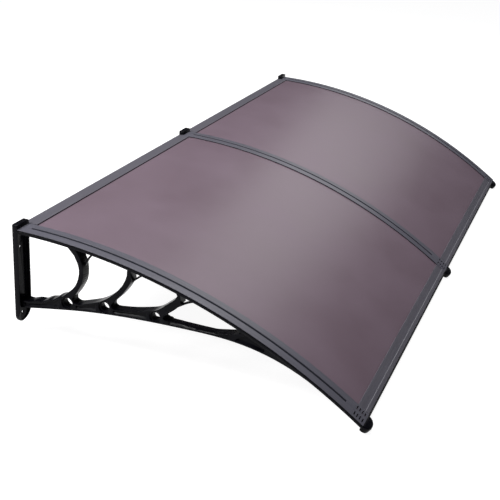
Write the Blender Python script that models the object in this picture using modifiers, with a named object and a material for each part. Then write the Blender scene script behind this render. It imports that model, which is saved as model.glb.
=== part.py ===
# A curved awning for a window or a door: three moulded wall brackets hold two bent brown sheets.
# Tables are in millimetres. out is the distance from the wall, height starts at the plates' foot.
import math

import bmesh
import bpy
from mathutils import Matrix, Vector

MM = 0.001

# Layout: the middle bracket stands at x = 0 and the wall plane is y = 0
BRACKET_PITCH = 945.0
BRACKET_PLACES = {"left": -BRACKET_PITCH, "middle": 0.0, "right": BRACKET_PITCH}
PLATE_HEIGHT = 282.0
ORIGIN_HEIGHT = 140.0

# The roof is part of a cylinder, and every layer of it has its own radius about this axis
AXIS_OUT = 44.0
AXIS_HEIGHT = -1319.0
STRIP_TOP = 1590.0
STRIP_EDGE_TOP = 1589.2
STRIP_UNDER = 1588.2
STRIP_KEEL = 1585.0
SHEET_TOP = 1586.2
SHEET_UNDER = 1583.5
SEAL_TOP = 1583.2
SEAL_UNDER = 1582.2
FLANGE_TOP = 1581.9
FLANGE_UNDER = 1579.4
RIB_TOP = 1584.7
RAIL_UNDER = 1572.5
ARC_STEP = 30.0
CLEARANCE = 0.3

# Wall plate: a shallow channel with a round foot and a solid head
PLATE_HALF_WIDTH = 26.0
PLATE_DEPTH = 15.0
PLATE_BACK = 5.0
PLATE_WALL = 4.0
PLATE_CORNER = 4.0
FOOT_TAPER = ((6.6, -1.5), (10.0, 13.0), (12.0, 25.0), (15.5, 36.0), (20.0, 36.0), (20.0, -1.5))
HEAD_UNDER = 250.0
BOLT_HEIGHTS = (24.0, 213.0)
BOLT_HOLE_RADIUS = 4.75

# Bracket side view: a thick web, thinned by pockets and round each boss hole
WEB_WIDTH = 30.0
WEB_ROOT = 2.5
BOSS_CENTRES = ((150.0, 93.0), (257.7, 109.6), (400.0, 119.4))
BOSS_HOLE_RADII = (13.2, 12.1, 11.2)
BOSS_FACE_RADII = (16.5, 16.0, 15.3)
BOSS_FACE_LOWEST = (77.0, 94.3, 107.2)
POCKET_DEPTH = 5.0
POCKET_SLOPE = 5.0
POCKET_RUN_OUT = 10.0
STRUT_WIDTH = 8.0
STRUT_THICKNESS = 4.5

# Nose in front of the cover strip: a short tab whose round front is a little squarer than an ellipse
NOSE_REAR = 949.5
NOSE_HALF_WIDTH = 25.6
NOSE_REACH = 22.5
NOSE_CURVE = 0.8
NOSE_TOP = 1588.6
NOSE_UNDER = 1570.5
NOSE_EDGE = 4.5

# Top of the bracket: a flange with a rib that keeps the two sheets apart
RIB_HALF_WIDTH = 6.0

# Cover strip: a thin crowned profile on a keel, with a groove for the screws and the filler bead
STRIP_HALF_WIDTH = 26.0
STRIP_FRONT = 949.0
STRIP_CROWN_PLACES = (19.0, 11.0)
GROOVE_HALF_WIDTH = 4.0
GROOVE_FLOOR = 1587.0
GROOVE_REAR = 41.0
GROOVE_FRONT = 897.0
SLOT_ROW_OFFSET = 12.5
SLOT_LENGTH = 14.0
SLOT_WIDTH = 3.4
SLOT_PLACES = (922.0, 929.0, 936.0, 943.0)

# Bead that fills the groove over the screws
BEAD_TOP = 1589.2
BEAD_UNDER = 1588.2

# Rubber under the long edges of the cover strip
STRIP_SEAL_INNER = 20.2
STRIP_SEAL_OUTER = 25.8

# Screws that hold the cover strip down on the rib
SCREW_PLACES = (110.0, 360.0, 610.0, 860.0)
SCREW_HEAD_RADIUS = 2.6
SCREW_HEAD_TOP = 1587.9
SCREW_RADIUS = 1.75
SCREW_TIP = 1575.5
SCREW_TIP_TAPER = 2.0
SCREW_SIDES = 12

# Sheets, seals and edge rails
SHEET_REAR = 16.0
SHEET_FRONT = 947.0
SEAL_WIDTH = 14.0
SEAL_FRONT = 943.0
RAIL_LEG = 1.5
RAIL_SIDE_GAP = 0.5
REAR_RAIL_REAR = 0.8
REAR_RAIL_TOP = 1589.6
REAR_RAIL_TOP_LEG = 38.0
REAR_RAIL_LOWER_LEG = 30.0
RAIL_SEAL_WIDTH = 7.5
FRONT_RAIL_INNER = 921.0
FRONT_RAIL_STEP = 939.3
FRONT_RAIL_OUTER = 948.3
FRONT_RAIL_LOWER_LEG = 931.0
FRONT_RAIL_RAISE = 1.2
FRONT_RAIL_TALL = 8.5
DRIP_SEAL_THICKNESS = 1.5

# Surface colours in linear light, with roughness and metallic
MATERIALS = {
    "black_plastic": ((0.012, 0.012, 0.014), 0.42, 0.0),
    "grey_plastic": ((0.085, 0.088, 0.105), 0.45, 0.0),
    "brown_sheet": ((0.105, 0.062, 0.068), 0.18, 0.0),
    "grey_aluminium": ((0.115, 0.120, 0.145), 0.38, 0.6),
    "black_rubber": ((0.010, 0.010, 0.011), 0.75, 0.0),
    "dark_steel": ((0.060, 0.060, 0.065), 0.35, 1.0),
}


def new_collection(name, hidden=False):
    collection = bpy.data.collections.new(name)
    bpy.context.scene.collection.children.link(collection)
    collection.hide_render = hidden
    return collection


def make_material(name):
    colour, roughness, metallic = MATERIALS[name]
    material = bpy.data.materials.new(name)
    material.use_nodes = True
    shader = material.node_tree.nodes["Principled BSDF"]
    shader.inputs["Base Color"].default_value = (*colour, 1.0)
    shader.inputs["Roughness"].default_value = roughness
    shader.inputs["Metallic"].default_value = metallic
    return material


def world_point(x, out, height):
    return Vector((x, -out, height - ORIGIN_HEIGHT)) * MM


def arc_angle(out):
    return math.asin((out - AXIS_OUT) / STRIP_TOP)


def arc_point(out, radius):
    # The point at this radius on the ray that meets the strip's top at the distance out
    angle = arc_angle(out)
    return (AXIS_OUT + radius * math.sin(angle), AXIS_HEIGHT + radius * math.cos(angle))


def arc_run(out_from, out_to, radius):
    steps = max(1, round(abs(out_to - out_from) / ARC_STEP))
    first, last = arc_angle(out_from), arc_angle(out_to)
    angles = (first + (last - first) * step / steps for step in range(steps + 1))
    return [(AXIS_OUT + radius * math.sin(a), AXIS_HEIGHT + radius * math.cos(a)) for a in angles]


def arc_at_out(out, radius):
    # The point of the circle of this radius that lies at the distance out
    return (out, AXIS_HEIGHT + math.sqrt(radius ** 2 - (out - AXIS_OUT) ** 2))


def round_run(centre, radius, degrees_from, degrees_to, steps):
    turns = (math.radians(degrees_from + (degrees_to - degrees_from) * i / steps) for i in range(steps + 1))
    return [(centre[0] + radius * math.cos(t), centre[1] + radius * math.sin(t)) for t in turns]


def smooth_run(points, steps=4):
    # A smooth curve through the points, with each tangent along the chord of its neighbours
    spots = [Vector(point) for point in points]
    padded = [2 * spots[0] - spots[1], *spots, 2 * spots[-1] - spots[-2]]
    run = []
    for before, start, end, after in zip(padded, padded[1:], padded[2:], padded[3:]):
        for step in range(steps):
            t = step / steps
            square = 2 * before - 5 * start + 4 * end - after
            cube = 3 * start - before - 3 * end + after
            run.append(tuple(start + ((end - before) + (square + cube * t) * t) * t / 2))
    run.append(tuple(spots[-1]))
    return run


def bump_run(points, rise):
    # Shallow bumps from point to point, like the edge of a cloud
    run = []
    for start, end in zip(points, points[1:]):
        middle = ((start[0] + end[0]) / 2, (start[1] + end[1]) / 2 + rise)
        run += smooth_run([start, middle, end], 3)[:-1]
    return run + [points[-1]]


def object_from_bmesh(name, shape, collection, material=None):
    bmesh.ops.recalc_face_normals(shape, faces=shape.faces)
    mesh = bpy.data.meshes.new(name)
    shape.to_mesh(mesh)
    shape.free()
    if material:
        mesh.materials.append(material)
    piece = bpy.data.objects.new(name, mesh)
    collection.objects.link(piece)
    return piece


def flat_prism(name, loops, thickness, matrix, collection, material=None):
    # A flat outline, with its holes, as a filled 2D curve that is made a mesh
    curve = bpy.data.curves.new(name, "CURVE")
    curve.dimensions = "2D"
    curve.fill_mode = "BOTH"
    curve.extrude = thickness / 2 * MM
    for loop in loops:
        spline = curve.splines.new("POLY")
        spline.points.add(len(loop) - 1)
        for spot, (across, up) in zip(spline.points, loop):
            spot.co = (across * MM, up * MM, 0.0, 1.0)
        spline.use_cyclic_u = True
    holder = bpy.data.objects.new(name + "_outline", curve)
    collection.objects.link(holder)
    holder.matrix_world = matrix
    bpy.context.view_layer.update()
    evaluated = holder.evaluated_get(bpy.context.evaluated_depsgraph_get())
    mesh = bpy.data.meshes.new_from_object(evaluated)
    bpy.data.objects.remove(holder)
    shape = bmesh.new()
    shape.from_mesh(mesh)
    bpy.data.meshes.remove(mesh)
    bmesh.ops.remove_doubles(shape, verts=shape.verts, dist=0.00001)
    bmesh.ops.dissolve_limit(shape, angle_limit=0.001, verts=shape.verts, edges=shape.edges)
    bmesh.ops.transform(shape, matrix=matrix, verts=shape.verts)
    return object_from_bmesh(name, shape, collection, material)


def side_view(x):
    # The outline's axes become out and height, and its thickness lies along the wall
    columns = ((0.0, -1.0, 0.0), (0.0, 0.0, 1.0), (-1.0, 0.0, 0.0))
    return Matrix.Translation(world_point(x, 0.0, 0.0)) @ Matrix(columns).transposed().to_4x4()


def front_view(x, out):
    # The outline's axes become along the wall and height, and its thickness lies outwards
    columns = ((1.0, 0.0, 0.0), (0.0, 0.0, 1.0), (0.0, -1.0, 0.0))
    return Matrix.Translation(world_point(x, out, 0.0)) @ Matrix(columns).transposed().to_4x4()


def arc_sweep(name, section, x, out_from, out_to, collection, material=None):
    # A section of (along the wall, radius) points, turned about the roof's axis
    first, last = arc_angle(out_from), arc_angle(out_to)
    shape = bmesh.new()
    corners = []
    for along, radius in section:
        out = AXIS_OUT + radius * math.sin(first)
        height = AXIS_HEIGHT + radius * math.cos(first)
        corners.append(shape.verts.new(world_point(x + along, out, height)))
    face = shape.faces.new(corners)
    bmesh.ops.spin(
        shape,
        geom=[face, *face.edges, *face.verts],
        cent=world_point(x, AXIS_OUT, AXIS_HEIGHT),
        axis=(1.0, 0.0, 0.0),
        angle=last - first,
        steps=max(1, round((out_to - out_from) / ARC_STEP)),
        use_duplicate=False,
    )
    return object_from_bmesh(name, shape, collection, material)


def cylinder(name, radii, length, matrix, sides, collection, material=None):
    shape = bmesh.new()
    bmesh.ops.create_cone(
        shape,
        cap_ends=True,
        segments=sides,
        radius1=radii[0] * MM,
        radius2=radii[1] * MM,
        depth=length * MM,
    )
    bmesh.ops.transform(shape, matrix=matrix, verts=shape.verts)
    return object_from_bmesh(name, shape, collection, material)


def along_wall(x, out, height):
    return Matrix.Translation(world_point(x, out, height)) @ Matrix.Rotation(math.pi / 2, 4, "Y")


def outwards(x, out, height):
    return Matrix.Translation(world_point(x, out, height)) @ Matrix.Rotation(math.pi / 2, 4, "X")


def on_arc(x, out, radius):
    # Stands on the roof's surface, with its length along the radius
    place = Matrix.Translation(world_point(x, *arc_point(out, radius)))
    return place @ Matrix.Rotation(arc_angle(out), 4, "X")


def combine(base, operation, others):
    # Joins or cuts with each of the others in turn, and then removes them
    for other in others:
        other.display_type = "WIRE"
        step = base.modifiers.new(other.name, "BOOLEAN")
        step.operation = operation
        step.solver = "EXACT"
        step.object = other
    bpy.context.view_layer.update()
    evaluated = base.evaluated_get(bpy.context.evaluated_depsgraph_get())
    mesh = bpy.data.meshes.new_from_object(evaluated)
    base.modifiers.clear()
    base.data = mesh
    for other in others:
        bpy.data.objects.remove(other)
    return base


def soften(piece, degrees=35.0):
    for polygon in piece.data.polygons:
        polygon.use_smooth = True
    piece.data.set_sharp_from_angle(angle=math.radians(degrees))


def web_outline():
    lower_edge = [
        (WEB_ROOT, 43.5), (101.0, 63.9), (196.0, 81.9), (288.0, 94.4), (378.0, 102.6), (465.0, 107.8),
        (550.0, 110.9), (613.0, 109.0), (676.0, 100.3), (737.0, 84.2), (799.0, 58.9), (862.0, 23.8),
        (941.5, -26.2),
    ]
    roof = arc_run(NOSE_REAR + 6.0, WEB_ROOT, (FLANGE_TOP + FLANGE_UNDER) / 2)
    return smooth_run(lower_edge, 3) + roof


def cell_outlines():
    # The four large openings, from the wall outwards, each starting under the roof
    at_plate = [
        *arc_run(156.0, PLATE_BACK, RAIL_UNDER),
        (PLATE_BACK, 69.0),
        (PLATE_DEPTH, 69.0),
        *bump_run([(35, 67.8), (74, 77.5), (109, 92.8), (137, 109.5)], 2.7)[:-1],
        *smooth_run([(137, 109.5), (163, 134), (178, 155.5), (185.5, 183), (183.5, 208), (172, 232)]),
    ]
    second_cell = [
        *arc_run(324.5, 178.0, RAIL_UNDER),
        *smooth_run([(187.5, 232.0), (195.5, 212.0), (198.0, 187.0), (194.0, 160.0), (179.5, 131.0)]),
        *smooth_run([(166.0, 111.5), (166.5, 101.5), (175.0, 97.2)], 3),
        *smooth_run([(182.0, 97.6), (203.0, 104.8), (240.0, 119.8), (270.0, 139.8), (297.0, 167.0)])[:-1],
        *smooth_run([(297.0, 167.0), (312.0, 188.5), (320.5, 212.0)]),
    ]
    third_cell = [
        *arc_run(459.5, 334.0, RAIL_UNDER),
        *smooth_run([(332.5, 200.0), (326.0, 185.5), (315.5, 168.0), (299.5, 146.5), (285.0, 131.0)]),
        *smooth_run([(278.8, 124.0), (278.2, 115.0), (285.0, 110.6)], 3),
        *smooth_run([(292.0, 110.8), (330.0, 117.3), (373.0, 128.5), (405.0, 140.5), (433.5, 164.5)])[:-1],
        *smooth_run([(433.5, 164.5), (451.0, 180.5), (458.0, 192.5)]),
    ]
    fourth_cell = [
        *arc_run(628.0, 471.0, RAIL_UNDER),
        *smooth_run([(468.0, 170.0), (454.0, 155.0), (441.0, 143.5), (427.0, 132.0)]),
        *smooth_run([(423.5, 128.0), (422.5, 121.0), (429.0, 117.6)], 3),
        *smooth_run([(436, 117.4), (500, 117.0), (530, 117.0), (560, 118.6), (600, 126.5), (628, 137)]),
    ]
    return [at_plate, second_cell, third_cell, fourth_cell]


def strut_outlines():
    # Thin curved struts from the shoulder of each crescent up to the roof
    outlines = []
    for points in (
        [(196.0, 206.0), (207.0, 228.0), (227.0, 251.0)],
        [(328.0, 193.0), (346.0, 209.0), (368.0, 226.0)],
        [(456.0, 159.0), (481.0, 175.0), (511.0, 188.0)],
    ):
        line = [Vector(point) for point in smooth_run(points)]
        ends = zip([line[0], *line[:-1]], [*line[1:], line[-1]])
        sides = [(after - before).orthogonal().normalized() * STRUT_THICKNESS / 2 for before, after in ends]
        upper = [tuple(spot + side) for spot, side in zip(line, sides)]
        lower = [tuple(spot - side) for spot, side in zip(line, sides)]
        outlines.append(upper + lower[::-1])
    return outlines


def pocket_outlines(rise):
    # Pockets along the lower rail and in the gusset, with their lower side raised by this much.
    # The one on the thin rail runs out to nothing at its front end.
    run_out = POCKET_RUN_OUT * rise
    outlines = []
    for lower, upper in (
        ([(21.0, 52.3), (70.0, 62.3), (123.0, 73.0)],
         [(124.5, 98.5), (109.0, 88.0), (91.0, 83.0), (74.0, 73.3), (35.0, 63.8), (21.0, 63.8)]),
        ([(176.0, 83.0), (204.0, 88.2), (233.5, 92.6)],
         [(233.5, 113.5), (204.0, 101.7), (186.0, 94.8), (176.0, 93.2)]),
        ([(284.0, 98.9), (330.0, 103.6), (377.0, 107.3)],
         [(377.0, 126.2), (330.0, 113.7), (298.0, 107.9), (284.0, 107.0)]),
        ([(436.0 + rise, 109.6), (465.0, 111.6), (508.0, 113.4), (530.0, 114.2), (585.0 - run_out, 115.0)],
         [(585.0 - run_out, 128.0), (530.0, 125.0), (508.0, 125.0), (465.0, 125.0), (436.0 + rise, 125.0)]),
        ([(612.0, 113.5), (650.0, 109.3), (690.0, 101.7)],
         arc_run(697.0, 646.0, RAIL_UNDER - 3.0)),
    ):
        raised = [(out, height + rise) for out, height in smooth_run(lower, 2)]
        outlines.append(raised + upper)
    return outlines


def pocket_cutter(outside, floor, x, side, cutters):
    # From well outside the web's face down to the pocket's floor
    shape = bmesh.new()
    rings = []
    for outline, depth in ((outside, -POCKET_DEPTH), (floor, POCKET_DEPTH)):
        place = x + side * (WEB_WIDTH / 2 - depth)
        rings.append([shape.verts.new(world_point(place, out, height)) for out, height in outline])
    first, last = rings
    faces = [shape.faces.new(first), shape.faces.new(last)]
    for number in range(len(first)):
        faces.append(shape.faces.new((first[number - 1], first[number], last[number], last[number - 1])))
    bmesh.ops.triangulate(shape, faces=faces, ngon_method="EAR_CLIP")
    return object_from_bmesh("pocket", shape, cutters)


def boss_face_outlines():
    # Round each boss hole the web is thinner, but the rim along its lower edge stays
    outlines = []
    for centre, radius, lowest in zip(BOSS_CENTRES, BOSS_FACE_RADII, BOSS_FACE_LOWEST):
        cut = math.degrees(math.asin((centre[1] - lowest) / radius))
        outlines.append(round_run(centre, radius, -cut, 180.0 + cut, 24))
    return outlines


def plate_outline(inset=0.0, top=PLATE_HEIGHT):
    half = PLATE_HALF_WIDTH - inset
    foot = round_run((0.0, PLATE_HALF_WIDTH), half, 180.0, 360.0, 20)
    if inset:
        return foot + [(half, top), (-half, top)]
    corner = PLATE_CORNER
    right = round_run((half - corner, top - corner), corner, 0.0, 90.0, 4)
    left = round_run((corner - half, top - corner), corner, 90.0, 180.0, 4)
    return foot + right + left


def wall_plate(x, cutters):
    plate = flat_prism("plate", [plate_outline()], PLATE_DEPTH, front_view(x, PLATE_DEPTH / 2), cutters)
    channel = plate_outline(PLATE_WALL, HEAD_UNDER)
    channel_place = front_view(x, PLATE_BACK + PLATE_DEPTH / 2)
    hollow = flat_prism("hollow", [channel], PLATE_DEPTH, channel_place, cutters)
    taper = flat_prism("taper", [FOOT_TAPER], 4 * PLATE_HALF_WIDTH, side_view(x), cutters)
    return combine(plate, "DIFFERENCE", [hollow, taper])


def nose(x, cutters):
    half = NOSE_HALF_WIDTH
    turns = round_run((0.0, 0.0), 1.0, 180.0, 360.0, 24)
    front = [
        (math.copysign(abs(across) ** NOSE_CURVE, across) * half, -(abs(ahead) ** NOSE_CURVE) * NOSE_REACH)
        for across, ahead in turns
    ]
    place = on_arc(x, NOSE_REAR, (NOSE_TOP + NOSE_UNDER) / 2)
    tab = flat_prism("nose", [front], NOSE_TOP - NOSE_UNDER, place, cutters)
    rounding = tab.modifiers.new("rounding", "BEVEL")
    rounding.width = NOSE_EDGE * MM
    rounding.segments = 3
    rounding.limit_method = "ANGLE"
    rounding.angle_limit = math.radians(40.0)
    return tab


def roof_section(ledges):
    # The flange, its middle rib, and a ledge at sheet height on a side that holds no sheet
    half, rib = PLATE_HALF_WIDTH, RIB_HALF_WIDTH
    left_top = SHEET_TOP if "left" in ledges else FLANGE_TOP
    right_top = SHEET_TOP if "right" in ledges else FLANGE_TOP
    return [
        (-half, FLANGE_UNDER), (half, FLANGE_UNDER), (half, right_top), (rib, right_top),
        (rib, RIB_TOP), (-rib, RIB_TOP), (-rib, left_top), (-half, left_top),
    ]


def bracket(name, x, ledges, parts, cutters, material):
    piece = flat_prism(name, [web_outline(), *cell_outlines()], WEB_WIDTH, side_view(x), parts, material)
    struts = [
        flat_prism("strut", [outline], STRUT_WIDTH, side_view(x), cutters) for outline in strut_outlines()
    ]
    roof = arc_sweep("roof", roof_section(ledges), x, PLATE_DEPTH / 2, NOSE_REAR + 2.0, cutters)
    combine(piece, "UNION", [*struts, wall_plate(x, cutters), roof, nose(x, cutters)])

    cuts = [
        cylinder("boss_hole", (radius, radius), 2 * WEB_WIDTH, along_wall(x, *centre), 32, cutters)
        for centre, radius in zip(BOSS_CENTRES, BOSS_HOLE_RADII)
    ]
    cuts += [
        cylinder("bolt_hole", (BOLT_HOLE_RADIUS, BOLT_HOLE_RADIUS), 4 * PLATE_BACK,
                 outwards(x, 0.0, height), 24, cutters)
        for height in BOLT_HEIGHTS
    ]
    for side in (-1, 1):
        for outside, floor in zip(pocket_outlines(-POCKET_SLOPE), pocket_outlines(POCKET_SLOPE)):
            cuts.append(pocket_cutter(outside, floor, x, side, cutters))
        face_place = side_view(x + side * WEB_WIDTH / 2)
        for outline in boss_face_outlines():
            cuts.append(flat_prism("boss_face", [outline], 2 * POCKET_DEPTH, face_place, cutters))
    hole_radii = (SCREW_RADIUS + CLEARANCE, SCREW_RADIUS + CLEARANCE)
    hole_length = STRIP_TOP - SCREW_TIP + 2 * CLEARANCE
    for out in SCREW_PLACES:
        place = on_arc(x, out, STRIP_TOP - hole_length / 2 + CLEARANCE)
        cuts.append(cylinder("screw_hole", hole_radii, hole_length, place, SCREW_SIDES, cutters))
    combine(piece, "DIFFERENCE", cuts)
    soften(piece)
    return piece


def crown_radius(across):
    # The strip's top falls away from the groove as the square of the distance from it
    share = (abs(across) - GROOVE_HALF_WIDTH) / (STRIP_HALF_WIDTH - GROOVE_HALF_WIDTH)
    return STRIP_TOP - (STRIP_TOP - STRIP_EDGE_TOP) * share ** 2


def cover_strip(name, x, parts, cutters, material):
    half, keel = STRIP_HALF_WIDTH, RIB_HALF_WIDTH
    across = [half, *STRIP_CROWN_PLACES, GROOVE_HALF_WIDTH]
    across += [-place for place in reversed(across)]
    section = [
        (-half, STRIP_UNDER), (-keel, STRIP_UNDER), (-keel, STRIP_KEEL), (keel, STRIP_KEEL),
        (keel, STRIP_UNDER), (half, STRIP_UNDER), *[(place, crown_radius(place)) for place in across],
    ]
    rear = PLATE_DEPTH + CLEARANCE
    piece = arc_sweep(name, section, x, rear, STRIP_FRONT, parts, material)

    groove = GROOVE_HALF_WIDTH
    above = STRIP_TOP + RAIL_LEG
    groove_section = [(-groove, GROOVE_FLOOR), (groove, GROOVE_FLOOR), (groove, above), (-groove, above)]
    cuts = [arc_sweep("groove", groove_section, x, GROOVE_REAR, GROOVE_FRONT, cutters)]
    for row in (-SLOT_ROW_OFFSET, SLOT_ROW_OFFSET):
        low, high = row - SLOT_LENGTH / 2, row + SLOT_LENGTH / 2
        slot_section = [(low, STRIP_KEEL), (high, STRIP_KEEL), (high, above), (low, above)]
        for out in SLOT_PLACES:
            half_width = SLOT_WIDTH / 2
            cuts.append(arc_sweep("slot", slot_section, x, out - half_width, out + half_width, cutters))
    hole_radius = SCREW_RADIUS + CLEARANCE
    for out in SCREW_PLACES:
        middle = (STRIP_KEEL + GROOVE_FLOOR) / 2
        hole_length = 2 * (GROOVE_FLOOR - STRIP_KEEL)
        cuts.append(cylinder("screw_hole", (hole_radius, hole_radius), hole_length,
                             on_arc(x, out, middle), SCREW_SIDES, cutters))
    combine(piece, "DIFFERENCE", cuts)
    soften(piece)
    return piece


def strip_screw(name, x, out, parts, material):
    # A low round head on the groove's floor, and a plain shank with a tapered tip
    head, shank = SCREW_HEAD_RADIUS, SCREW_RADIUS
    head_under = GROOVE_FLOOR + CLEARANCE
    profile = [
        (0.0, SCREW_TIP), (shank * 0.4, SCREW_TIP), (shank, SCREW_TIP + SCREW_TIP_TAPER),
        (shank, head_under), (head, head_under), (head, SCREW_HEAD_TOP - 0.2),
        (head - 0.2, SCREW_HEAD_TOP), (0.0, SCREW_HEAD_TOP),
    ]
    shape = bmesh.new()
    corners = [shape.verts.new((radius * MM, 0.0, (along - STRIP_TOP) * MM)) for radius, along in profile]
    edges = [shape.edges.new(pair) for pair in zip(corners, corners[1:])]
    bmesh.ops.spin(shape, geom=[*corners, *edges], cent=(0.0, 0.0, 0.0), axis=(0.0, 0.0, 1.0),
                   angle=2 * math.pi, steps=SCREW_SIDES, use_merge=True, use_duplicate=False)
    bmesh.ops.remove_doubles(shape, verts=shape.verts, dist=0.00001)
    bmesh.ops.transform(shape, matrix=on_arc(x, out, STRIP_TOP), verts=shape.verts)
    screw = object_from_bmesh(name, shape, parts, material)
    soften(screw)


def filler_bead(name, x, parts, material):
    half = GROOVE_HALF_WIDTH - CLEARANCE
    section = [(-half, BEAD_UNDER), (half, BEAD_UNDER), (half, BEAD_TOP), (-half, BEAD_TOP)]
    bead = arc_sweep(name, section, x, GROOVE_REAR + CLEARANCE, GROOVE_FRONT - CLEARANCE, parts, material)
    soften(bead)


def panel(name, x_from, x_to, parts, material):
    section = [(x_from, SHEET_UNDER), (x_to, SHEET_UNDER), (x_to, SHEET_TOP), (x_from, SHEET_TOP)]
    sheet = arc_sweep(name, section, 0.0, SHEET_REAR, SHEET_FRONT, parts, material)
    soften(sheet)


def seal(name, x, across, radii, out_to, parts, material):
    # A flat rubber strip along the arc, between two distances across and two radii
    low, high = sorted(across)
    under, top = radii
    section = [(low, under), (high, under), (high, top), (low, top)]
    strip = arc_sweep(name, section, x, SHEET_REAR, out_to, parts, material)
    soften(strip)


def sheet_seal(name, x, side, parts, material):
    across = (side * (PLATE_HALF_WIDTH - SEAL_WIDTH), side * (PLATE_HALF_WIDTH - CLEARANCE))
    seal(name, x, across, (SEAL_UNDER, SEAL_TOP), SEAL_FRONT, parts, material)


def strip_seal(name, x, side, parts, material):
    across = (side * STRIP_SEAL_INNER, side * STRIP_SEAL_OUTER)
    radii = (SHEET_TOP + CLEARANCE, STRIP_UNDER - CLEARANCE)
    seal(name, x, across, radii, SEAL_FRONT, parts, material)


def wall_prism(name, outline, x_from, x_to, parts, material):
    # A side outline carried along the wall
    middle = (x_from + x_to) / 2
    length = flat_prism(name, [outline], x_to - x_from, side_view(middle), parts, material)
    soften(length)


def rear_rail(name, x_from, x_to, parts, material):
    # A channel that grips the sheet's wall edge between two brackets, with its top level with the strips
    upper, lower = REAR_RAIL_TOP - RAIL_LEG, SHEET_UNDER - CLEARANCE
    rear, web = REAR_RAIL_REAR, REAR_RAIL_REAR + RAIL_LEG
    outline = [
        *arc_run(rear, REAR_RAIL_TOP_LEG, REAR_RAIL_TOP),
        *arc_run(REAR_RAIL_TOP_LEG, web, upper),
        *arc_run(web, REAR_RAIL_LOWER_LEG, lower),
        *arc_run(REAR_RAIL_LOWER_LEG, rear, lower - RAIL_LEG),
    ]
    wall_prism(name, outline, x_from, x_to, parts, material)


def rail_seal(name, x_from, x_to, parts, material):
    # Rubber under the inner edge of the rear rail's top
    front = REAR_RAIL_TOP_LEG - CLEARANCE
    rear = front - RAIL_SEAL_WIDTH
    top, under = REAR_RAIL_TOP - RAIL_LEG - CLEARANCE, SHEET_TOP + CLEARANCE
    outline = [*arc_run(rear, front, top), *arc_run(front, rear, under)]
    wall_prism(name, outline, x_from, x_to, parts, material)


def front_rail(name, x_from, x_to, parts, material):
    # A channel on the sheet's front edge, with a raised outer band over an upright front wall
    upper, lower = SHEET_TOP + CLEARANCE, SHEET_UNDER - CLEARANCE
    outer, web = FRONT_RAIL_OUTER, FRONT_RAIL_OUTER - RAIL_LEG
    raised = upper + RAIL_LEG + FRONT_RAIL_RAISE
    band_front = arc_at_out(outer, raised)
    bottom = band_front[1] - FRONT_RAIL_TALL
    outline = [
        *arc_run(FRONT_RAIL_INNER, FRONT_RAIL_STEP, upper + RAIL_LEG),
        arc_point(FRONT_RAIL_STEP + FRONT_RAIL_RAISE, raised),
        band_front,
        (outer, bottom),
        (web, bottom),
        arc_at_out(web, lower - RAIL_LEG),
        arc_point(FRONT_RAIL_LOWER_LEG, lower - RAIL_LEG),
        arc_point(FRONT_RAIL_LOWER_LEG, lower),
        arc_at_out(web, lower),
        arc_at_out(web, upper),
        arc_point(FRONT_RAIL_INNER, upper),
    ]
    wall_prism(name, outline, x_from, x_to, parts, material)


def drip_seal(name, x_from, x_to, parts, material):
    # Rubber on the front rail's upright wall, level with the rail's top
    rear = FRONT_RAIL_OUTER + CLEARANCE
    front = rear + DRIP_SEAL_THICKNESS
    top = arc_at_out(front, SHEET_TOP + CLEARANCE + RAIL_LEG + FRONT_RAIL_RAISE)[1]
    bottom = top - FRONT_RAIL_TALL
    outline = [(rear, top), (front, top), (front, bottom), (rear, bottom)]
    wall_prism(name, outline, x_from, x_to, parts, material)


def build_awning():
    for old in list(bpy.data.objects):
        bpy.data.objects.remove(old)
    parts = new_collection("window_awning")
    cutters = new_collection("cutters", hidden=True)
    finish = {name: make_material(name) for name in MATERIALS}

    ledges = {"left": ("left",), "middle": (), "right": ("right",)}
    for place, x in BRACKET_PLACES.items():
        bracket("bracket_" + place, x, ledges[place], parts, cutters, finish["black_plastic"])
        cover_strip("cover_strip_" + place, x, parts, cutters, finish["grey_plastic"])
        filler_bead("filler_bead_" + place, x, parts, finish["black_rubber"])
        for number, side in enumerate((-1, 1), 1):
            strip_seal(f"strip_seal_{place}_{number}", x, side, parts, finish["black_rubber"])
        for number, out in enumerate(SCREW_PLACES, 1):
            strip_screw(f"strip_screw_{place}_{number}", x, out, parts, finish["dark_steel"])

    rubber = finish["black_rubber"]
    sheet_seal("seal_left", -BRACKET_PITCH, 1, parts, rubber)
    sheet_seal("seal_middle_left", 0.0, -1, parts, rubber)
    sheet_seal("seal_middle_right", 0.0, 1, parts, rubber)
    sheet_seal("seal_right", BRACKET_PITCH, -1, parts, rubber)

    sheet_side = RIB_HALF_WIDTH + CLEARANCE
    rail_side = PLATE_HALF_WIDTH + RAIL_SIDE_GAP
    for place, left, right in (("left", -BRACKET_PITCH, 0.0), ("right", 0.0, BRACKET_PITCH)):
        panel("sheet_" + place, left + sheet_side, right - sheet_side, parts, finish["brown_sheet"])
        rail_from, rail_to = left + rail_side, right - rail_side
        rear_rail("rear_rail_" + place, rail_from, rail_to, parts, finish["grey_aluminium"])
        front_rail("front_rail_" + place, rail_from, rail_to, parts, finish["grey_aluminium"])
        rail_seal("rail_seal_" + place, rail_from, rail_to, parts, rubber)
        drip_seal("drip_seal_" + place, rail_from, rail_to, parts, rubber)
    bpy.context.view_layer.update()


build_awning()
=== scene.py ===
import math

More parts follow.
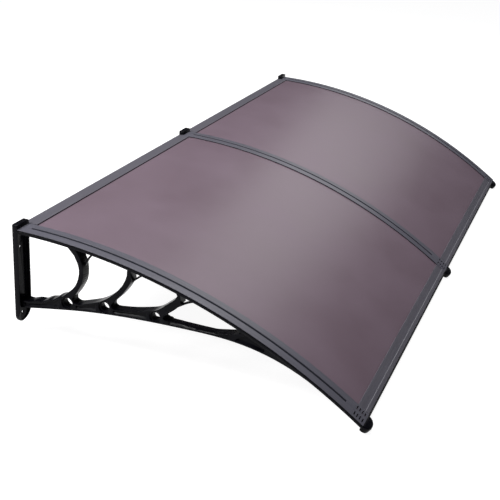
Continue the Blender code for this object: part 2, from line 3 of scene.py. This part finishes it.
import bmesh
import bpy
import numpy as np
from mathutils import Euler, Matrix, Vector


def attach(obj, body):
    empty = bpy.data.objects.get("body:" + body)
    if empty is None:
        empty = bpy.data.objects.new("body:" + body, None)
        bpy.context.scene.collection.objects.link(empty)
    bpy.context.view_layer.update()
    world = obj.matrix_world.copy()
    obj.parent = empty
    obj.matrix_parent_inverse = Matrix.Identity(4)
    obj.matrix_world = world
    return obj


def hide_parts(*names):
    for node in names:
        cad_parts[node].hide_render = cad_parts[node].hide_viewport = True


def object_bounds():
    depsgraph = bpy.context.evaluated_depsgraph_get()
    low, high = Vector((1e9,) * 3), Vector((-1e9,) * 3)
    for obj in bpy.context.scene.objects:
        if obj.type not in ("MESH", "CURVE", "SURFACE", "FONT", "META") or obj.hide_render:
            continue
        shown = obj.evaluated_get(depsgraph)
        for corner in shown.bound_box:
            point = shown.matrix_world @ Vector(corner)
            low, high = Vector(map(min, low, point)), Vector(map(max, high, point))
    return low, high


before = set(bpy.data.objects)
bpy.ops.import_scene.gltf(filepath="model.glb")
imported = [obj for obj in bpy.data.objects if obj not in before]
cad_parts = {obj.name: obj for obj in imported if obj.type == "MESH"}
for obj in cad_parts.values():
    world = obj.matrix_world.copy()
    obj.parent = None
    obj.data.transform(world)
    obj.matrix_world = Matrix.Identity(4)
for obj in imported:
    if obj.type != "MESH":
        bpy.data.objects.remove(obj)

cadLow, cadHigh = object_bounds()
print("frame loaded:", len(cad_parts), "nodes")

# One arc carries the whole roof. Every layer has its own radius about the same axis along X.
roof = {
    "axisOut": 0.044,       # metres from the wall to the arc's centre
    "axisHeight": -1.459,   # height of the arc's centre
    "topRadius": 1.590,     # top of the cover strips
}
bracketPitch = 0.945        # metres from one bracket's middle to the next
bracketX = {"left": -bracketPitch, "middle": 0.0, "right": bracketPitch}
bays = {"left": (-bracketPitch, 0.0), "right": (0.0, bracketPitch)}


def roofPoints(out, radius):
    # angle = asin((out - axisOut) / topRadius)
    # y = -(axisOut + radius * sin(angle)), z = axisHeight + radius * cos(angle)
    sine = (np.asarray(out, float) - roof["axisOut"]) / roof["topRadius"]
    y = -(roof["axisOut"] + radius * sine)
    z = roof["axisHeight"] + radius * np.sqrt(1.0 - sine ** 2)
    return y, z


edgeShare = 0.45        # a rounded corner takes at most this share of the edges beside it
samePoint = 1e-7        # metres; two points nearer than this are one
sharpAbove = 40.0       # degrees; edges that turn more than this stay sharp


def roundedRing(corners, reach, steps=4):
    # each corner becomes the curve (1-t)^2 a + 2t(1-t) corner + t^2 b, where a and b lie
    # the corner's reach before and after it, and never past the middle of an edge
    corners = np.asarray(corners, float)
    reach = np.broadcast_to(np.asarray(reach, float), len(corners))
    back = np.roll(corners, 1, axis=0) - corners
    ahead = np.roll(corners, -1, axis=0) - corners
    backLength = np.linalg.norm(back, axis=1)
    aheadLength = np.linalg.norm(ahead, axis=1)
    size = np.minimum(reach, edgeShare * np.minimum(backLength, aheadLength))
    a = (corners + back * (size / backLength)[:, None])[:, None]
    b = (corners + ahead * (size / aheadLength)[:, None])[:, None]
    t = np.linspace(0.0, 1.0, steps + 1)[None, :, None]
    ring = ((1 - t) ** 2 * a + 2 * t * (1 - t) * corners[:, None] + t ** 2 * b).reshape(-1, 2)
    apart = np.linalg.norm(ring - np.roll(ring, 1, axis=0), axis=1) > samePoint
    return ring[apart]      # a corner left sharp is one point


def splitLongEdges(ring, longest):
    # an edge gets ceil(its length / longest) equal steps
    following = np.roll(ring, -1, axis=0)
    lengths = np.linalg.norm(following - ring, axis=1)
    counts = np.maximum(1, np.ceil(lengths / longest)).astype(int)
    start = np.repeat(ring, counts, axis=0)
    end = np.repeat(following, counts, axis=0)
    step = np.arange(counts.sum()) - np.repeat(np.cumsum(counts) - counts, counts)
    return start + (end - start) * (step / np.repeat(counts, counts))[:, None]


def meshFromGrid(name, grid):
    # grid[i, j] is the point at step i along the path and step j round the closed section
    rows, columns = grid.shape[:2]
    index = np.arange(rows * columns).reshape(rows, columns)
    beside = np.roll(index, -1, axis=1)
    quads = np.stack([index[:-1], beside[:-1], beside[1:], index[1:]], axis=-1).reshape(-1, 4)
    faces = quads.tolist() + [index[0].tolist(), index[-1].tolist()]
    mesh = bpy.data.meshes.new(name)
    mesh.from_pydata(grid.reshape(-1, 3).tolist(), [], faces)
    return mesh


def placeMesh(name, mesh, sharpDegrees=sharpAbove):
    # puts a finished mesh in the scene with outward faces and smooth shading between sharp edges
    work = bmesh.new()
    work.from_mesh(mesh)
    bmesh.ops.recalc_face_normals(work, faces=work.faces)
    work.to_mesh(mesh)
    work.free()
    mesh.polygons.foreach_set("use_smooth", np.ones(len(mesh.polygons), bool))
    mesh.set_sharp_from_angle(angle=math.radians(sharpDegrees))
    piece = bpy.data.objects.new(name, mesh)
    bpy.context.scene.collection.objects.link(piece)
    return piece


def standFor(piece, node, material):
    # the piece stands in for the CAD node, which is hidden; it takes the given finish and hangs under the
    # root body
    piece.data.materials.clear()
    piece.data.materials.append(material)
    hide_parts(node)
    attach(piece, "root")


# Materials: noise patterns, each with a real size, move the colour, the sheen and the relief

def toLinear(hexColour):
    # sRGB to linear: c / 12.92 below 0.04045, else ((c + 0.055) / 1.055) ^ 2.4
    c = np.array([int(hexColour[i:i + 2], 16) for i in (1, 3, 5)]) / 255.0
    linear = np.where(c <= 0.04045, c / 12.92, ((c + 0.055) / 1.055) ** 2.4)
    return (*linear.tolist(), 1.0)


def addNode(material, kind, settings=None, links=None):
    # adds a node, sets its properties or input values, and links its inputs
    node = material.node_tree.nodes.new(kind)
    for key, value in (settings or {}).items():
        if isinstance(key, str) and hasattr(node, key):
            setattr(node, key, value)
        else:
            node.inputs[key].default_value = value
    for key, source in (links or {}).items():
        material.node_tree.links.new(source, node.inputs[key])
    return node


def startMaterial(name):
    # an empty material, and the place in the piece that its patterns are worked out from
    material = bpy.data.materials.new(name)
    material.use_nodes = True
    place = addNode(material, "ShaderNodeTexCoord").outputs["Object"]
    return material, place


def dressShader(material, look, tint, sheen=None, relief=None):
    # colour goes from dark to light as the tint pattern crosses its span, roughness from low to high
    # as the sheen pattern crosses its own, and the relief pattern lifts the surface
    shader = material.node_tree.nodes["Principled BSDF"]
    link = material.node_tree.links.new
    ramp = addNode(material, "ShaderNodeValToRGB", links={"Fac": tint.outputs["Fac"]})
    for element, position, tone in zip(ramp.color_ramp.elements, look["tintSpan"], ("darkHex", "lightHex")):
        element.position = position
        element.color = toLinear(look[tone])
    link(ramp.outputs["Color"], shader.inputs["Base Color"])
    if sheen:
        spanLow, spanHigh = look["sheenSpan"]
        roughLow, roughHigh = look["roughness"]
        rough = addNode(material, "ShaderNodeMapRange",
                        {"From Min": spanLow, "From Max": spanHigh, "To Min": roughLow, "To Max": roughHigh},
                        {"Value": sheen.outputs["Fac"]})
        link(rough.outputs["Result"], shader.inputs["Roughness"])
    else:
        shader.inputs["Roughness"].default_value = look["roughness"]
    if relief:
        bump = addNode(material, "ShaderNodeBump",
                       {"Strength": look["relief"], "Distance": look["reliefMetres"]},
                       {"Height": relief.outputs["Fac"]})
        link(bump.outputs["Normal"], shader.inputs["Normal"])
    for key, socket in (("ior", "IOR"), ("specularLevel", "Specular IOR Level"), ("metallic", "Metallic")):
        if key in look:
            shader.inputs[socket].default_value = look[key]
    return material


def blackAbs():
    # ABS, injection moulded in a spark-eroded tool: a deep black with a soft sheen, a fine even grain
    # and slow flow marks that shift the sheen a little
    look = {
        "darkHex": "#07070C", "lightHex": "#0E0E14", "tintSpan": (0.35, 0.7),
        "ior": 1.54, "specularLevel": 0.055,
        "roughness": (0.24, 0.32), "sheenSpan": (0.3, 0.7),
        "flowMm": 55.0, "flowDetail": 3.0,
        "grainMm": 2.2, "grainDetail": 2.0,     # real grain is 0.3 mm; drawn coarser so that it shows
        "relief": 0.35, "reliefMetres": 0.00012,
    }
    material, place = startMaterial("blackAbsMoulded")
    flow = addNode(material, "ShaderNodeTexNoise",
                   {"Scale": 1000 / look["flowMm"], "Detail": look["flowDetail"]}, {"Vector": place})
    grain = addNode(material, "ShaderNodeTexNoise",
                    {"Scale": 1000 / look["grainMm"], "Detail": look["grainDetail"]}, {"Vector": place})
    return dressShader(material, look, tint=flow, sheen=flow, relief=grain)


def greyAbs():
    # ABS, moulded in a cool dark grey: an even satin face with faint streaks along the strip
    look = {
        "darkHex": "#4D4C55", "lightHex": "#575660", "tintSpan": (0.3, 0.7),
        "ior": 1.54, "specularLevel": 0.35,
        "roughness": (0.36, 0.46), "sheenSpan": (0.3, 0.7),
        "streakMm": 3.5, "streakDetail": 2.0,
        "streakRun": 30.0,      # a streak is this many times as long as wide
        "grainMm": 2.0, "grainDetail": 2.0,     # real grain is 0.3 mm; drawn coarser so that it shows
        "relief": 0.3, "reliefMetres": 0.00008,
    }
    material, place = startMaterial("greyAbsMoulded")
    run = 1 / look["streakRun"]
    along = addNode(material, "ShaderNodeMapping", {"Scale": (1.0, run, run)}, {"Vector": place})
    streak = addNode(material, "ShaderNodeTexNoise",
                     {"Scale": 1000 / look["streakMm"], "Detail": look["streakDetail"]},
                     {"Vector": along.outputs["Vector"]})
    grain = addNode(material, "ShaderNodeTexNoise",
                    {"Scale": 1000 / look["grainMm"], "Detail": look["grainDetail"]}, {"Vector": place})
    return dressShader(material, look, tint=streak, sheen=grain, relief=grain)


def coatedAluminium():
    # extruded aluminium with a dark grey powder coat: satin, with faint die lines along the profile
    look = {
        "darkHex": "#4F4D55", "lightHex": "#59575F", "tintSpan": (0.3, 0.7),
        "ior": 1.50, "specularLevel": 0.35,
        "roughness": (0.36, 0.48), "sheenSpan": (0.3, 0.7),
        "lineMm": 1.6, "lineDetail": 3.0,
        "lineRun": 60.0,        # a line is this many times as long as wide
        "relief": 0.3, "reliefMetres": 0.00005,
    }
    material, place = startMaterial("darkAluminiumCoated")
    along = addNode(material, "ShaderNodeMapping",
                    {"Scale": (1 / look["lineRun"], 1.0, 1.0)}, {"Vector": place})
    lines = addNode(material, "ShaderNodeTexNoise",
                    {"Scale": 1000 / look["lineMm"], "Detail": look["lineDetail"]},
                    {"Vector": along.outputs["Vector"]})
    return dressShader(material, look, tint=lines, sheen=lines, relief=lines)


def brownPolycarbonate():
    # extruded polycarbonate, tinted brown right through: dark and satin, with a very slight waviness
    # that softens what it mirrors and a faint cloudiness in the tint
    look = {
        "darkHex": "#675761", "lightHex": "#6D5D68", "tintSpan": (0.3, 0.7),
        "ior": 1.585, "specularLevel": 0.3,
        "roughness": (0.36, 0.42), "sheenSpan": (0.3, 0.7),
        "cloudMm": 160.0, "cloudDetail": 4.0,
        "waveMm": 90.0, "waveDetail": 1.0,
        "relief": 0.25, "reliefMetres": 0.0006,
    }
    material, place = startMaterial("brownPolycarbonateExtruded")
    cloud = addNode(material, "ShaderNodeTexNoise",
                    {"Scale": 1000 / look["cloudMm"], "Detail": look["cloudDetail"]}, {"Vector": place})
    wave = addNode(material, "ShaderNodeTexNoise",
                   {"Scale": 1000 / look["waveMm"], "Detail": look["waveDetail"]}, {"Vector": place})
    return dressShader(material, look, tint=cloud, sheen=cloud, relief=wave)


def extrudedRubber(name, darkHex, lightHex):
    # EPDM rubber, extruded: dull all over, with a dusty fine tooth
    look = {
        "darkHex": darkHex, "lightHex": lightHex, "tintSpan": (0.35, 0.75),
        "ior": 1.52, "specularLevel": 0.05, "roughness": 0.75,
        "toothMm": 1.5, "toothDetail": 3.0,
        "relief": 0.3, "reliefMetres": 0.0001,
    }
    material, place = startMaterial(name)
    tooth = addNode(material, "ShaderNodeTexNoise",
                    {"Scale": 1000 / look["toothMm"], "Detail": look["toothDetail"]}, {"Vector": place})
    return dressShader(material, look, tint=tooth, relief=tooth)


def blackenedSteel():
    # steel screws with a black oxide finish: dark metal with a fine mottled sheen
    look = {
        "darkHex": "#2E2E32", "lightHex": "#46464B", "tintSpan": (0.3, 0.7),
        "metallic": 1.0, "roughness": (0.30, 0.45), "sheenSpan": (0.3, 0.7),
        "mottleMm": 0.8, "mottleDetail": 3.0,
    }
    material, place = startMaterial("steelBlackOxide")
    mottle = addNode(material, "ShaderNodeTexNoise",
                     {"Scale": 1000 / look["mottleMm"], "Detail": look["mottleDetail"]}, {"Vector": place})
    return dressShader(material, look, tint=mottle, sheen=mottle)


finishes = {
    "bracket": blackAbs(),
    "strip": greyAbs(),
    "rail": coatedAluminium(),
    "sheet": brownPolycarbonate(),
    # the seals are black rubber, and their black is also painted shade: it stands in for the shade that
    # falls along the rail edges they line
    "seal": extrudedRubber("blackRubberAndPaintedShade", "#08080A", "#131315"),
    # the groove's filler bead is rubber, coloured darker than the strip so that it also carries painted
    # shade in the groove
    "bead": extrudedRubber("darkBeadAndPaintedShade", "#1E1E24", "#28282F"),
    "screw": blackenedSteel(),
}
print("materials made:", len(finishes))


# Brackets: the CAD surface with its edges rounded as a moulding's are

bracketEdges = {
    "roundMetres": 0.0006,  # how far the rounding reaches from an edge
    "steps": 2,
    "sharpDegrees": 35.0,   # edges flatter than this stay as they are
    "mergeMetres": 0.00002,
}


def roundedCopy(node, name, edges):
    # the node's own triangles, joined where they meet; each sharp edge is replaced by a curved strip
    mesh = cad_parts[node].data.copy()
    mesh.name = name
    work = bmesh.new()
    work.from_mesh(mesh)
    bmesh.ops.remove_doubles(work, verts=work.verts, dist=edges["mergeMetres"])
    work.to_mesh(mesh)
    work.free()
    piece = placeMesh(name, mesh, edges["sharpDegrees"])
    bevel = piece.modifiers.new("rounding", "BEVEL")
    bevel.width = edges["roundMetres"]
    bevel.segments = edges["steps"]
    bevel.limit_method = "ANGLE"
    bevel.angle_limit = math.radians(edges["sharpDegrees"])
    bevel.use_clamp_overlap = False
    bevel.harden_normals = True
    return piece


for place in bracketX:
    bracket = roundedCopy("bracket_" + place, "bracketMoulding_" + place, bracketEdges)
    standFor(bracket, "bracket_" + place, finishes["bracket"])
print("brackets rounded")


# Sheets: a thin rounded-edge section carried along the roof's arc

sheetShape = {
    "top": 1.5862, "under": 1.5835,     # radii of the two faces
    "rear": 0.016, "front": 0.947,      # metres from the wall
    "sideGap": 0.0063,                  # from a bracket's middle to the sheet's side
    "edgeRound": 0.0008,
    "steps": 180,
    "longestEdge": 0.06,
}


def carryAlongRoof(name, ring, outs):
    # ring holds (x, radius) points; every ring point follows its own radius along the arc
    y, z = roofPoints(outs[:, None], ring[None, :, 1])
    x = np.broadcast_to(ring[None, :, 0], y.shape)
    return meshFromGrid(name, np.stack([x, y, z], axis=-1))


for place, (left, right) in bays.items():
    low, high = left + sheetShape["sideGap"], right - sheetShape["sideGap"]
    corners = [(low, sheetShape["under"]), (high, sheetShape["under"]),
               (high, sheetShape["top"]), (low, sheetShape["top"])]
    ring = splitLongEdges(roundedRing(corners, sheetShape["edgeRound"]), sheetShape["longestEdge"])
    outs = np.linspace(sheetShape["rear"], sheetShape["front"], sheetShape["steps"])
    sheet = placeMesh("bentSheet_" + place, carryAlongRoof("bentSheet_" + place, ring, outs))
    standFor(sheet, "sheet_" + place, finishes["sheet"])
print("sheets bent")


# Cover strips: a thin crowned section with a groove, carried along the arc, with slots cut at the front

stripShape = {
    "halfWidth": 0.026, "keelHalfWidth": 0.006,
    "top": 1.590, "edgeTop": 1.5892,        # radii beside the groove and at the outer edge
    "under": 1.5882, "keel": 1.585,
    "grooveHalfWidth": 0.004, "grooveFloor": 1.587, "grooveLean": 0.0002,
    "grooveRear": 0.041, "grooveFront": 0.897, "grooveEnd": 0.0015,
    "rear": 0.0153, "front": 0.949,
    "edgeRound": 0.0005, "underRound": 0.0004, "grooveRound": 0.0007, "floorRound": 0.0003,
    "crownPoints": 9, "steps": 150,
    "slotPlaces": (0.922, 0.929, 0.936, 0.943),
    "slotWidth": 0.0034, "slotLength": 0.014, "slotRow": 0.0125, "slotCut": 0.012,
    "margin": 0.0001,
}


def stripGrid(x):
    # top radius = top - (top - edgeTop) * ((|x| - groove) / (half - groove))^2, so that the strip is
    # crowned; the groove's floor drops between its two ends, with a short straight ramp at each
    s = stripShape
    half, groove, keel = s["halfWidth"], s["grooveHalfWidth"], s["keelHalfWidth"]
    share = np.linspace(1.0, 0.0, s["crownPoints"])
    crownTop = s["top"] - (s["top"] - s["edgeTop"]) * share ** 2
    crown = np.stack([groove + share * (half - groove), crownTop], axis=1)
    floorSide = (groove - s["grooveLean"], s["grooveFloor"])
    rightSide = [(keel, s["keel"]), (keel, s["under"]), (half, s["under"]), *crown.tolist(), floorSide]
    crownReach = [s["edgeRound"], *[0.0] * (s["crownPoints"] - 2), s["grooveRound"]]
    reach = [0.0, 0.0, s["underRound"], *crownReach, s["floorRound"]]
    leftSide = [(-across, radius) for across, radius in rightSide[::-1]]
    ring = roundedRing(rightSide + leftSide, reach + reach[::-1])
    rear, front, ramp = s["grooveRear"], s["grooveFront"], s["grooveEnd"]
    ends = [rear, rear + ramp, front - ramp, front]
    outs = np.unique(np.concatenate([np.linspace(s["rear"], s["front"], s["steps"]), ends]))
    depth = np.interp(outs, ends, [0.0, 1.0, 1.0, 0.0])[:, None]
    narrow = np.abs(ring[:, 0]) <= groove + s["margin"]
    aboveKeel = ring[:, 1] > s["keel"] + s["margin"]
    radius = np.where(narrow & aboveKeel, s["top"] - (s["top"] - ring[:, 1]) * depth, ring[:, 1])
    y, z = roofPoints(outs[:, None], radius)
    across = np.broadcast_to(x + ring[None, :, 0], y.shape)
    return np.stack([across, y, z], axis=-1)


def slotCutter(x):
    # one box for each slot, with its long side along X and its sides square to the roof
    s = stripShape
    work = bmesh.new()
    for out in s["slotPlaces"]:
        for row in (-s["slotRow"], s["slotRow"]):
            box = bmesh.ops.create_cube(work, size=1.0)["verts"]
            y, z = roofPoints(out, s["top"])
            angle = math.asin((out - roof["axisOut"]) / roof["topRadius"])
            bmesh.ops.scale(work, verts=box, vec=(s["slotLength"], s["slotWidth"], s["slotCut"]))
            bmesh.ops.rotate(work, verts=box, cent=(0, 0, 0), matrix=Euler((angle, 0, 0)).to_matrix())
            bmesh.ops.translate(work, verts=box, vec=(x + row, float(y), float(z)))
    mesh = bpy.data.meshes.new("slots")
    work.to_mesh(mesh)
    work.free()
    cutter = bpy.data.objects.new("slots", mesh)
    bpy.context.scene.collection.objects.link(cutter)
    return cutter


def cutAway(piece, cutter):
    # subtracts the cutter and keeps the result as the piece's own mesh
    cut = piece.modifiers.new("cut", "BOOLEAN")
    cut.operation = "DIFFERENCE"
    cut.solver = "EXACT"
    cut.object = cutter
    bpy.context.view_layer.update()
    evaluated = piece.evaluated_get(bpy.context.evaluated_depsgraph_get())
    result = bpy.data.meshes.new_from_object(evaluated)
    piece.modifiers.clear()
    piece.data = result
    bpy.data.objects.remove(cutter)
    result.set_sharp_from_angle(angle=math.radians(sharpAbove))


for place, x in bracketX.items():
    name = "slottedStrip_" + place
    strip = placeMesh(name, meshFromGrid(name, stripGrid(x)))
    cutAway(strip, slotCutter(x))
    standFor(strip, "cover_strip_" + place, finishes["strip"])
print("cover strips made")


# Rails: a section of (distance from the wall, radius) points carried along the wall

railShape = {
    "sideGap": 0.0265,      # from a bracket's middle to the rail's end
    "leg": 0.0015, "upper": 1.5865, "lower": 1.5832,
    "rearOut": 0.0008, "rearTopLeg": 0.038, "rearLowerLeg": 0.030,
    "rearTop": 1.5896, "rearRound": 0.0009,
    "frontInner": 0.921, "frontStep": 0.9393, "frontOuter": 0.9483, "frontLowerLeg": 0.931,
    "frontRaise": 0.0012, "frontTall": 0.0085, "frontRound": 0.0007,
    "arcStep": 0.006, "steps": 24,
}


def atOut(out, radius):
    # the point of this radius straight above the distance out, as roofPoints takes it:
    # out' = axisOut + topRadius * (out - axisOut) / radius
    return roof["axisOut"] + roof["topRadius"] * (out - roof["axisOut"]) / radius, radius


def atHeight(out, height):
    # the same for a point at this height
    return atOut(out, math.hypot(out - roof["axisOut"], height - roof["axisHeight"]))


def carryAlongWall(name, corners, reach, xFrom, xTo):
    # the section's corners are rounded in its own plane, bent onto the arc, and repeated along X
    ring = splitLongEdges(roundedRing(corners, reach), railShape["arcStep"])
    y, z = roofPoints(ring[:, 0], ring[:, 1])
    xs = np.linspace(xFrom, xTo, railShape["steps"])
    grid = np.broadcast_arrays(xs[:, None], y[None, :], z[None, :])
    return meshFromGrid(name, np.stack(grid, axis=-1))


r = railShape
rearUpper, rearWeb = r["rearTop"] - r["leg"], r["rearOut"] + r["leg"]
rearCorners = [
    (r["rearOut"], r["rearTop"]), (r["rearTopLeg"], r["rearTop"]), (r["rearTopLeg"], rearUpper),
    (rearWeb, rearUpper), (rearWeb, r["lower"]), (r["rearLowerLeg"], r["lower"]),
    (r["rearLowerLeg"], r["lower"] - r["leg"]), (r["rearOut"], r["lower"] - r["leg"]),
]
frontTop = r["upper"] + r["leg"] + r["frontRaise"]
frontWeb = r["frontOuter"] - r["leg"]
wallBottom = float(roofPoints(*atOut(r["frontOuter"], frontTop))[1]) - r["frontTall"]
frontCorners = [
    (r["frontInner"], r["upper"] + r["leg"]), (r["frontStep"], r["upper"] + r["leg"]),
    (r["frontStep"] + r["frontRaise"], frontTop), atOut(r["frontOuter"], frontTop),
    atHeight(r["frontOuter"], wallBottom), atHeight(frontWeb, wallBottom),
    atOut(frontWeb, r["lower"] - r["leg"]), (r["frontLowerLeg"], r["lower"] - r["leg"]),
    (r["frontLowerLeg"], r["lower"]), atOut(frontWeb, r["lower"]),
    atOut(frontWeb, r["upper"]), (r["frontInner"], r["upper"]),
]
railSides = (("rear", rearCorners, r["rearRound"]), ("front", frontCorners, r["frontRound"]))
for place, (left, right) in bays.items():
    xFrom, xTo = left + r["sideGap"], right - r["sideGap"]
    for side, corners, reach in railSides:
        name = side + "EdgeRail_" + place
        rail = placeMesh(name, carryAlongWall(name, corners, reach, xFrom, xTo))
        standFor(rail, side + "_rail_" + place, finishes["rail"])
print("rails made")


# Small CAD parts that keep their own shape and take a finish

# the seals' black and the bead's dark grey are partly painted shade, along the rail edges and in the strips'
# grooves
for node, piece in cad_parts.items():
    finish = next((kind for kind in ("seal", "bead", "screw") if kind in node), None)
    if finish:
        for number in range(len(piece.data.materials)):
            piece.data.materials[number] = finishes[finish]
print("small parts finished")


# Floor, light and camera

studio = {
    "floorSize": 80.0, "floorGap": 0.0006,
    "floorHex": "#A0A0A0",      # a darker sheet shows a fainter shadow
    "floorGlow": 0.93,          # added for the camera and for reflections, so that the floor reads white
    "worldHex": "#E6EAF4",      # a weak even fill; the camera sees white instead
    "worldLight": 0.08,
}
lamps = {
    # place, point it faces, width and height in metres, power in watts
    "overhead": ((0.2, -0.2, 3.0), (0.0, -0.4, 0.0), (2.8, 1.8), 93.0),
    "farSide": ((3.3, -0.45, 2.30), (-0.3, -0.45, 0.05), (1.7, 2.3), 25.0),
    "leftWall": ((-2.4, 1.2, 2.3), (-0.5, -0.3, 0.05), (1.0, 1.0), 90.0),
    "wallLow": ((2.2, 1.55, 1.75), (-0.8, -0.1, 0.15), (1.2, 0.8), 1.0),
}
cameraSettings = {
    "place": (-2.75133, -1.30623, 1.07452),
    "turnDegrees": (65.7606, -3.8438, -67.7358),
    "lens": 66.832, "sensor": 36.0, "farthest": 200.0,
}

floorMesh = bpy.data.meshes.new("studioFloor")
halfFloor = studio["floorSize"] / 2
floorHeight = cadLow.z - studio["floorGap"]
floorCorners = [(halfFloor * i, halfFloor * j, floorHeight)
                for i, j in ((-1, -1), (1, -1), (1, 1), (-1, 1))]
floorMesh.from_pydata(floorCorners, [], [(0, 1, 2, 3)])
floor = bpy.data.objects.new("studioFloor", floorMesh)
bpy.context.scene.collection.objects.link(floor)

# seamless matte paper: it takes the shadow as a grey sheet does, and its glow lifts it to white
floorMaterial = bpy.data.materials.new("matteStudioPaper")
floorMaterial.use_nodes = True
floorMaterial.node_tree.nodes.clear()
rays = addNode(floorMaterial, "ShaderNodeLightPath")
seen = addNode(floorMaterial, "ShaderNodeMath", {"operation": "MAXIMUM"},
               {0: rays.outputs["Is Camera Ray"], 1: rays.outputs["Is Glossy Ray"]})
seenOrThrough = addNode(floorMaterial, "ShaderNodeMath", {"operation": "MAXIMUM"},
                        {0: seen.outputs[0], 1: rays.outputs["Is Transmission Ray"]})
glow = addNode(floorMaterial, "ShaderNodeMath", {"operation": "MULTIPLY", 1: studio["floorGlow"]},
               {0: seenOrThrough.outputs[0]})
paper = addNode(floorMaterial, "ShaderNodeBsdfDiffuse", {"Color": toLinear(studio["floorHex"])})
shine = addNode(floorMaterial, "ShaderNodeEmission", {"Color": (1, 1, 1, 1)}, {"Strength": glow.outputs[0]})
both = addNode(floorMaterial, "ShaderNodeAddShader", links={0: paper.outputs[0], 1: shine.outputs[0]})
addNode(floorMaterial, "ShaderNodeOutputMaterial", links={"Surface": both.outputs[0]})
floorMesh.materials.append(floorMaterial)

world = bpy.data.worlds.new("studioRoom")
bpy.context.scene.world = world
world.use_nodes = True
world.node_tree.nodes.clear()
rays = addNode(world, "ShaderNodeLightPath")
white = addNode(world, "ShaderNodeBackground", {"Color": (1, 1, 1, 1), "Strength": 1.0})
room = addNode(world, "ShaderNodeBackground",
               {"Color": toLinear(studio["worldHex"]), "Strength": studio["worldLight"]})
choose = addNode(world, "ShaderNodeMixShader",
                 links={0: rays.outputs["Is Camera Ray"], 1: room.outputs[0], 2: white.outputs[0]})
addNode(world, "ShaderNodeOutputWorld", links={"Surface": choose.outputs[0]})

for name, (place, facing, size, power) in lamps.items():
    data = bpy.data.lights.new(name, "AREA")
    data.shape = "RECTANGLE"
    data.size, data.size_y = size
    data.energy = power
    lamp = bpy.data.objects.new(name, data)
    lamp.location = place
    lamp.rotation_euler = (Vector(facing) - Vector(place)).to_track_quat("-Z", "Y").to_euler()
    bpy.context.scene.collection.objects.link(lamp)

cameraData = bpy.data.cameras.new("photoCamera")
cameraData.lens = cameraSettings["lens"]
cameraData.sensor_width = cameraSettings["sensor"]
cameraData.clip_end = cameraSettings["farthest"]
camera = bpy.data.objects.new("photoCamera", cameraData)
camera.location = cameraSettings["place"]
camera.rotation_euler = Euler([math.radians(a) for a in cameraSettings["turnDegrees"]])
bpy.context.scene.collection.objects.link(camera)
bpy.context.scene.camera = camera
bpy.context.scene.view_settings.view_transform = "Standard"
print("studio set")
